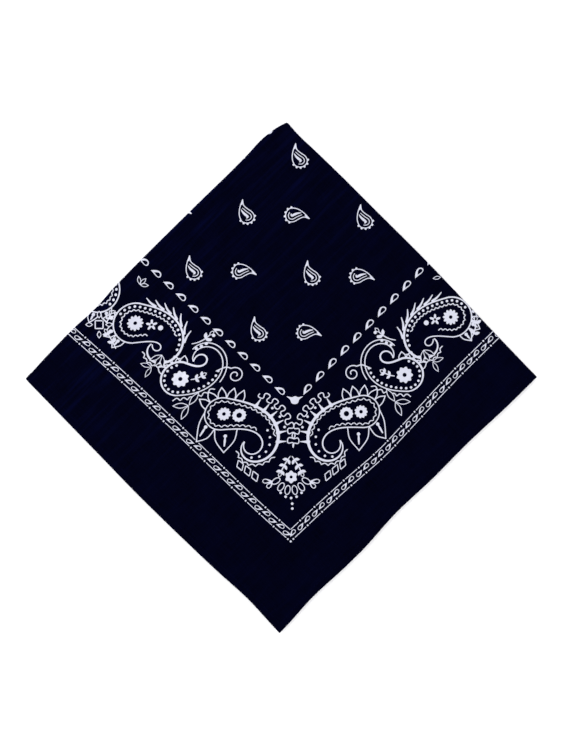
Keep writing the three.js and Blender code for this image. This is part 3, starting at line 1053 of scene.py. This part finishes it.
def corner_ornament(draw):
    """Two sprigs, a flower and a fan of petals, mirrored at the corner's middle line."""
    middle = 7.5
    for side, heading in ((-1, 232), (1, 308)):
        sprig(draw, np.array((middle, -59.0)), heading, length=15, bend=side * -14, pairs=3,
              leaf_length=4.4)
        for turn, length in ((178, 8.5), (224, 7.0)):
            way = axes(turn)[0] * (-side, 1)
            root = np.array((middle + side * 13.4, -79.0))
            draw.hollow_drop(root, root + length * way, 4.0, line=1.0)
    draw.flower((middle, -75.6), 4.9, petals=6, depth=0.12, hole=1.2, start=30)
    for number in range(6):
        angle = 212 + number * 23.2
        place = np.array((middle, -70.6)) + (13.5, 15.2) * axes(angle)[0]
        draw.hollow_oval(place, 3.8, 2.3, angle, 1.05)
    for number in range(5):
        place = np.array((middle, -70.6)) + (13.5, 21.0) * axes(234 + number * 18)[0]
        draw.fill(disc(place, 1.0, 10))
    draw.fill(disc((middle + 0.8, -95.9), 1.0, 10), disc((middle + 0.9, -99.6), 1.0, 10))


def fold_lattice(draw):
    """Petals round a square and a sprig, between the left paisley and the nested fold."""
    centre = np.array((-138.4, 40.2))
    for angle in (0, 90, 180, 270):
        draw.hollow_leaf(centre + 4.6 * axes(angle)[0], centre + 10.6 * axes(angle)[0], 3.4)
    draw.corners(oval(centre, 4.2, 4.2, 45, 4), 1.3, closed=True)
    draw.corners(oval((-128.6, 48.6), 3.2, 2.8, 45, 4), 1.15, closed=True)
    sprig(draw, np.array((-125.4, 21)), 112, length=14, bend=12, pairs=2, leaf_length=4.6)


def axes(angle):
    """Unit vectors along and across a direction given in degrees."""
    turned = math.radians(angle)
    return (np.array([math.cos(turned), math.sin(turned)]),
            np.array([-math.sin(turned), math.cos(turned)]))


def three_petals(draw):
    """Small groups of leaves at the edge of the border."""
    leaf_fan(draw, (-107.5, 70.5), length=7.0, width=3.0, angles=(98, 45, -5), line=0.95)
    leaf_fan(draw, (115, 75.2), length=6.6, width=2.8, angles=(10,), line=0.9)


def to_left_half(polygon):
    """Places of the right half of the border as they lie in the left half.

    The two differ by a fit in the least squares of x, y and one, because the photographed cloth
    is folded a little off its middle.
    """
    right = np.column_stack([RIGHT_PLACES, np.ones(len(RIGHT_PLACES))])
    fit = np.linalg.lstsq(right, np.array(LEFT_PLACES), rcond=None)[0]
    return np.column_stack([polygon, np.ones(len(polygon))]) @ fit


def from_middle(polygon):
    """How far each place of the left side lies from the middle of the cloth."""
    return LEFT_MIDDLE - (polygon - FRAME_CORNER) @ LEFT_ALONG


def past_middle(polygon):
    """A shape of the left side, mirrored at the middle of the cloth."""
    return polygon + 2 * np.outer(from_middle(polygon), LEFT_ALONG)


def bandana_print():
    """All the shapes of the print."""
    half = Drawing()
    for motif in (inner_paisley, middle_paisley, outer_paisley, sprigs):
        motif(half)
    whole = Drawing()
    whole.shapes = half.shapes + [(to_left_half(polygon), pale) for polygon, pale in half.shapes]
    left = whole.shapes[len(half.shapes):]
    for polygon, pale in left:
        if from_middle(polygon).max() < 85:
            whole.shapes.append((past_middle(polygon), pale))
    for motif in (fold_sprigs, field, drop_row, border_frame, corner_ornament, fold_lattice,
                  three_petals):
        motif(whole)
    return whole.shapes


def seen_shapes(shapes, layer):
    """The shapes that reach into a layer, out of all those of the print."""
    seen = []
    for polygon, pale in shapes:
        inside = [edge_distance(layer, name, polygon).max() for name in EDGES]
        if min(inside) > -2:
            seen.append((polygon, pale))
    return seen


def past_fold(shapes, layer, name):
    """The print on the next layer beyond a fold: mirrored at the line where the fold ends."""
    width, depth = FOLDS[name]
    end = width - turn_length(width, depth)
    found = []
    for polygon, pale in shapes:
        distance = edge_distance(layer, name, polygon)
        if distance.min() < end:
            found.append((polygon - np.outer(2 * (end - distance), EDGES[name].out), pale))
    return found


def under_print(shapes):
    """The print of the under quarter, which is the top one's as it runs on over the nested fold.

    Small shapes that cross the end of the fold run on. Beyond it comes the print of the left
    side, mirrored at the middle of the cloth.
    """
    layer = LAYERS["top_quarter"]
    end = NESTED_TURN - turn_length(NESTED_TURN, MIDDLE)
    found = []
    for polygon, pale in shapes:
        distance = edge_distance(layer, "upper_left", polygon)
        if distance.min() < end < distance.max() < distance.min() + SMALL_SHAPE:
            found.append((polygon, pale))
        mirrored = past_middle(polygon)
        if edge_distance(layer, "upper_left", mirrored).min() < end:
            found.append((mirrored, pale))
    return past_fold(found, layer, "upper_left")


def skin_normals(layer, places, outer):
    """Unit vectors square to a skin and away from the cloth, from small steps on it."""
    step = 0.04
    towards_x = skin(layer, places + (step, 0), outer) - skin(layer, places - (step, 0), outer)
    towards_y = skin(layer, places + (0, step), outer) - skin(layer, places - (0, step), outer)
    square = np.cross(towards_x, towards_y) * layer["up"] * (1 if outer else -1)
    return square / np.maximum(np.linalg.norm(square, axis=1, keepdims=True), 1e-9)


def stitches(layer):
    """Points and triangles of a row of lockstitches along each hem.

    Each is a short thread with six sides and pointed ends, that lies on the cloth and sinks into
    it at both ends.
    """
    swell = STITCH_RADIUS * np.array([0.0, 0.85, 1.0, 0.85, 0.0])[:, None]
    angle = np.arange(6) * math.pi / 3
    ring = np.arange(6)
    after = np.roll(ring, -1)
    tube = [(a, b, b + 6, a + 6) for low in (0, 6) for a, b in zip(low + ring, low + after)]
    one = [(a, b, c) for a, b, c, d in tube] + [(a, c, d) for a, b, c, d in tube]
    one += [(18, b, a) for a, b in zip(ring, after)]
    one += [(19, 12 + a, 12 + b) for a, b in zip(ring, after)]
    points, faces = [], []
    for name in HEMS:
        edge = EDGES[name]
        count = int((SIDE - 12) / STITCH_PITCH)
        share = 0.02 + 0.96 * (np.arange(count) + 0.5) / count
        along_edge = share[:, None] * edge.length + np.linspace(-0.5, 0.5, 5) * STITCH_LENGTH
        places = edge.start + along_edge.reshape(-1, 1) * edge.along
        away = edge_distance(layer, name, places) - STITCH_FROM_EDGE
        places = places + np.outer(away, edge.out)
        square = skin_normals(layer, places, True).reshape(count, 5, 3)
        spine = skin(layer, places, True).reshape(count, 5, 3)
        spine = spine + square * (swell * 0.9 - STITCH_RADIUS * 0.35)
        across = np.cross(square, np.append(edge.along, 0))
        round_it = (np.cos(angle)[:, None] * square[:, 1:4, None]
                    + np.sin(angle)[:, None] * across[:, 1:4, None])
        rings = spine[:, 1:4, None] + swell[1:4, :, None] * round_it
        start = sum(map(len, points))
        thread = np.concatenate([rings.reshape(count, 18, 3), spine[:, [0, 4]]], axis=1)
        points.append(thread.reshape(-1, 3))
        faces.append((start + 20 * np.arange(count)[:, None, None] + np.array(one)).reshape(-1, 3))
    return np.concatenate(points), np.concatenate(faces)


def mesh_object(name, points, faces, materials, material_index=None):
    """An object from points in millimetres and triangles, smoothly shaded."""
    mesh = bpy.data.meshes.new(name)
    mesh.from_pydata((np.asarray(points) * MM).tolist(), [], np.asarray(faces).tolist())
    for material in materials:
        mesh.materials.append(material)
    if material_index is not None:
        mesh.polygons.foreach_set("material_index", np.asarray(material_index, np.int32))
    mesh.polygons.foreach_set("use_smooth", np.ones(len(mesh.polygons), bool))
    mesh.update()
    made = bpy.data.objects.new(name, mesh)
    bpy.context.scene.collection.objects.link(made)
    return made


def add_uv(mesh, name, places):
    """A UV map with a place for every corner of every face, in the faces' order."""
    layer = mesh.uv_layers.new(name=name)
    layer.data.foreach_set("uv", np.asarray(places, np.float32).ravel())


def linear(hex_colour):
    """An sRGB hex colour as linear red, green and blue with full alpha."""
    parts = [int(hex_colour[i:i + 2], 16) / 255 for i in (1, 3, 5)]
    return [c / 12.92 if c <= 0.04045 else ((c + 0.055) / 1.055) ** 2.4 for c in parts] + [1.0]


def add_node(tree, kind, settings=(), **links):
    """A node of a kind with its settings, and its inputs set or linked.

    Settings are pairs of a property and its value. A link's name is that of the input with
    underscores for spaces, or in_ and a number for one that only has a number. Its value is an
    output to link from or a constant.
    """
    node = tree.nodes.new(kind)
    for name, value in settings:
        setattr(node, name, value)
    for name, value in links.items():
        key = int(name[3:]) if name.startswith("in_") else name.replace("_", " ")
        if isinstance(value, bpy.types.NodeSocket):
            tree.links.new(value, node.inputs[key])
        else:
            node.inputs[key].default_value = value
    return node


def cotton(name, colour, light_colour, sheen, sheen_colour, shine, roughness=0.92):
    """Plain-weave cotton.

    The cloth UV map runs with the threads, in millimetres. Two waves, one for each way, cross
    as the threads of a plain weave do. Noise that is long one way and short the other stands
    for uneven yarn, and a broad soft one for uneven dye. A third noise, long along the nested
    fold and short across it, and fading away from that fold, lightens the colour in streaks:
    painted light, standing in for light on the fine creases and the blue bloom beside the fold.
    """
    material = bpy.data.materials.new(name)
    material.use_nodes = True
    tree = material.node_tree
    shader = tree.nodes["Principled BSDF"]
    threads = add_node(tree, "ShaderNodeUVMap", [("uv_map", "cloth")]).outputs["UV"]
    parts = add_node(tree, "ShaderNodeSeparateXYZ", Vector=threads).outputs
    turn = 2 * math.pi / THREAD_SPACING
    swings = []
    for axis in ("X", "Y"):
        phase = add_node(
            tree, "ShaderNodeMath", [("operation", "MULTIPLY")], in_0=parts[axis], in_1=turn / 2)
        swing = add_node(tree, "ShaderNodeMath", [("operation", "SINE")], in_0=phase.outputs[0])
        swings.append(swing.outputs[0])
    weave = add_node(tree, "ShaderNodeMath", [("operation", "MULTIPLY")], in_0=swings[0], in_1=swings[1])
    yarns = []
    for stretch in ((1 / 14, 1 / THREAD_SPACING, 1), (1 / THREAD_SPACING, 1 / 14, 1)):
        place = add_node(tree, "ShaderNodeMapping", Vector=threads, Scale=stretch)
        noise = add_node(
            tree, "ShaderNodeTexNoise", Vector=place.outputs[0], Scale=1.0, Detail=2.0, Roughness=0.5)
        yarns.append(noise.outputs["Fac"])
    yarn = add_node(tree, "ShaderNodeMath", [("operation", "ADD")], in_0=yarns[0], in_1=yarns[1])
    dye = add_node(
        tree, "ShaderNodeTexNoise", Vector=threads, Scale=1 / 22, Detail=3.0, Roughness=0.6)
    shade = add_node(
        tree, "ShaderNodeMath", [("operation", "MULTIPLY_ADD")],
        in_0=yarn.outputs[0], in_1=0.4, in_2=-0.38)
    shade = add_node(
        tree, "ShaderNodeMath", [("operation", "MULTIPLY_ADD")],
        in_0=dye.outputs["Fac"], in_1=0.4, in_2=shade.outputs[0])
    # Painted light: lighter streaks beside the nested fold, fading away from it, stand in for light on
    # the fine creases and the bloom there
    painted_light_fade = add_node(
        tree, "ShaderNodeMapRange", Value=parts["X"],
        From_Min=-130.0, From_Max=10.0, To_Min=1.0, To_Max=0.2)
    place = add_node(tree, "ShaderNodeMapping", Vector=threads, Scale=(1 / 4.5, 1 / 70, 1))
    painted_crease_light = add_node(
        tree, "ShaderNodeTexNoise", Vector=place.outputs[0], Scale=1.0, Detail=2.0, Roughness=0.6)
    painted_crease_light = add_node(
        tree, "ShaderNodeMapRange", Value=painted_crease_light.outputs["Fac"],
        From_Min=0.48, From_Max=0.8, To_Min=0.0, To_Max=0.75)
    shade = add_node(
        tree, "ShaderNodeMath", [("operation", "MULTIPLY_ADD")],
        in_0=painted_crease_light.outputs[0], in_1=painted_light_fade.outputs[0], in_2=shade.outputs[0])
    mix = add_node(
        tree, "ShaderNodeMix", [("data_type", "RGBA"), ("clamp_factor", True)], Factor=shade.outputs[0])
    mix.inputs[6].default_value = linear(colour)
    mix.inputs[7].default_value = linear(light_colour)
    tree.links.new(mix.outputs[2], shader.inputs["Base Color"])
    height = add_node(
        tree, "ShaderNodeMath", [("operation", "MULTIPLY_ADD")],
        in_0=yarn.outputs[0], in_1=0.8, in_2=weave.outputs[0])
    bump = add_node(
        tree, "ShaderNodeBump", Height=height.outputs[0], Strength=0.35, Distance=THREAD_HEIGHT * MM)
    tree.links.new(bump.outputs[0], shader.inputs["Normal"])
    for setting, value in (
            ("Roughness", roughness), ("IOR", 1.5), ("Specular IOR Level", shine),
            ("Sheen Weight", sheen), ("Sheen Roughness", 0.45), ("Sheen Tint", linear(sheen_colour))):
        shader.inputs[setting].default_value = value
    return material


# Plain-weave cotton, vat dyed navy: almost black face on, with a blue bloom where it turns away, and
# painted light in lighter streaks beside the nested fold
dyed_cotton = cotton("dyed_plain_weave_cotton", "#010106", "#030521", 0.07, "#1418b4", 0.005)

# The same cotton where a discharge paste has taken the dye out: a dull, slightly violet white, with the
# same painted light in streaks beside the nested fold
discharge_print = cotton("discharge_printed_cotton", "#b0b2c0", "#d0d1de", 0.02, "#ffffff", 0.04)

# Spun polyester sewing thread in the cloth's colour: matt, a little lighter than the cloth
sewing_thread = bpy.data.materials.new("spun_polyester_thread")
sewing_thread.use_nodes = True
thread_shader = sewing_thread.node_tree.nodes["Principled BSDF"]
thread_shader.inputs["Base Color"].default_value = linear("#020320")
thread_shader.inputs["Roughness"].default_value = 0.7
thread_shader.inputs["Specular IOR Level"].default_value = 0.02

# Matt white paper, which the picture shows as plain white
studio_floor = bpy.data.materials.new("matt_white_paper")
studio_floor.use_nodes = True
floor_shader = studio_floor.node_tree.nodes["Principled BSDF"]
floor_shader.inputs["Base Color"].default_value = linear("#fcfcfe")
floor_shader.inputs["Roughness"].default_value = 1.0
floor_shader.inputs["Specular IOR Level"].default_value = 0.0

camera_data = bpy.data.cameras.new("camera")
camera_data.lens = LENS
camera_data.sensor_width = SENSOR
camera = bpy.data.objects.new("camera", camera_data)
camera.location = (
    VIEW_CENTRE[0] * MM, VIEW_CENTRE[1] * MM, (STACK_HEIGHT + VIEW_HEIGHT * LENS / SENSOR) * MM)
bpy.context.scene.collection.objects.link(camera)
bpy.context.scene.camera = camera

face_shapes = bandana_print()
under_shapes = under_print(face_shapes)
layer_shapes = {
    "top_quarter": face_shapes,
    "second_quarter": past_fold(face_shapes, LAYERS["second_quarter"], "upper_right"),
    "third_quarter": past_fold(under_shapes, LAYERS["third_quarter"], "upper_right"),
    "under_quarter": under_shapes,
}
for name, layer in LAYERS.items():
    shapes = seen_shapes(layer_shapes[name], layer)
    rests = ("top_quarter", "under_quarter")
    across, along = (1.4, 3.0) if name in rests else (2.6, 8.0)
    quarter = make_quarter(name, shapes, across, along)
    piece = mesh_object(name, quarter["points"], quarter["faces"], [dyed_cotton, discharge_print],
                        quarter["ink"])
    add_uv(piece.data, "OFBake", quarter["bake"])
    add_uv(piece.data, "cloth", quarter["threads"])
    piece.data.normals_split_custom_set(quarter["normals"].tolist())
    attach(piece, "root")
    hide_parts("top_layer" if name == "top_quarter" else "hidden_layers")

for name in ("top_quarter", "under_quarter"):
    points, faces = stitches(LAYERS[name])
    row = mesh_object("hem_stitches_" + name.split("_")[0], points, faces, [sewing_thread])
    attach(row, "root")

bpy.ops.mesh.primitive_plane_add(size=6, location=(0, 0, 0))
floor = bpy.context.object
floor.name = "floor"
floor.data.materials.append(studio_floor)

lamp_data = bpy.data.lights.new("soft_lamp", "AREA")
lamp_data.shape = "DISK"
lamp_data.size = 0.9
lamp_data.energy = LAMP_POWER
lamp = bpy.data.objects.new("soft_lamp", lamp_data)
lamp.location = (-0.9, 0.9, 1.1)
lamp.rotation_euler = Vector((0.9, -0.9, -1.1)).to_track_quat("-Z", "Y").to_euler()
bpy.context.scene.collection.objects.link(lamp)

world = bpy.data.worlds.new("studio")
world.use_nodes = True
world.node_tree.nodes["Background"].inputs["Color"].default_value = (1, 1, 1, 1)
world.node_tree.nodes["Background"].inputs["Strength"].default_value = WORLD_STRENGTH
bpy.context.scene.world = world
bpy.context.scene.view_settings.view_transform = "Standard"
